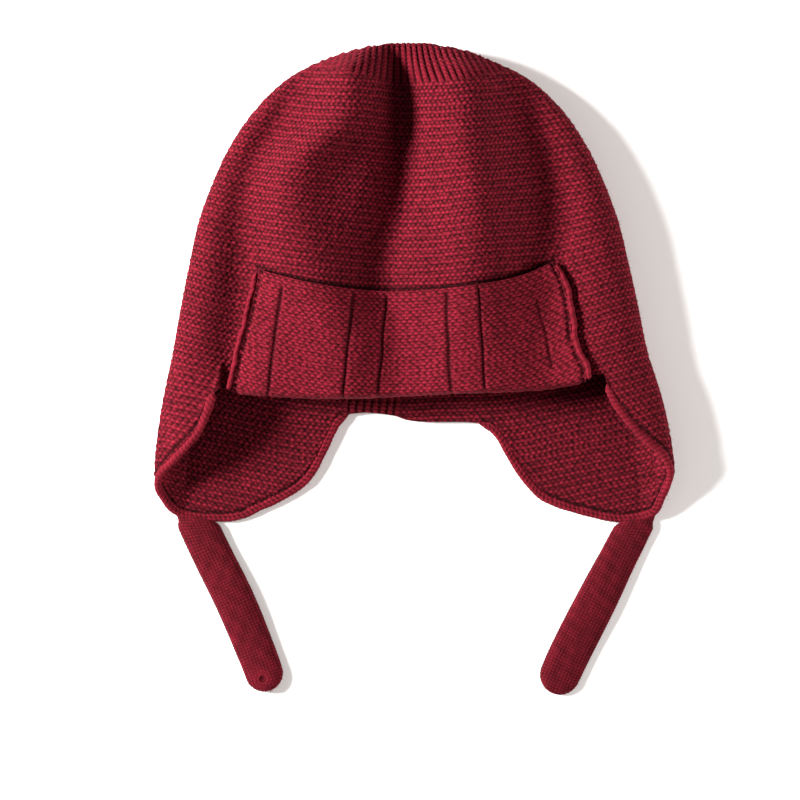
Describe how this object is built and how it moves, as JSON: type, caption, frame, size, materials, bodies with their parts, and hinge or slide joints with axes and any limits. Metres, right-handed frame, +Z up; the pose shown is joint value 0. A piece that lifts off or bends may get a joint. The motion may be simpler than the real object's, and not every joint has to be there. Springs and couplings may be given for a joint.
{
  "type": "knitted earflap beanie lying flat",
  "caption": "Knitted beanie lying flat: hollow crown pressed into folds, turned-up front with side seam rolls, edged ear flaps and flat knitted ties.",
  "frame": {"origin": "middle of the object's box, on the surface that it lies on", "axes": "+Y from the ties to the top of the crown, +Z up from the surface through the turned-up front, +X to the right seen from above"},
  "size_m": [0.2431, 0.3036, 0.0344],
  "materials": {
    "garter_knit": "soft woollen garter knit, matt, lightly felted",
    "turn_up_knit": "finer woollen knit with ladder lines, matt",
    "edging_knit": "rolled knitted edging, matt",
    "tie_knit": "fine woollen tube knit, matt"
  },
  "bodies": {
    "root": {"crown": "garter_knit", "turn_up": "turn_up_knit", "turn_up_seam_left": "edging_knit", "turn_up_seam_right": "edging_knit", "edging_left": "edging_knit", "edging_right": "edging_knit", "tie_left": "tie_knit", "tie_right": "tie_knit"}
  },
  "joints": []
}
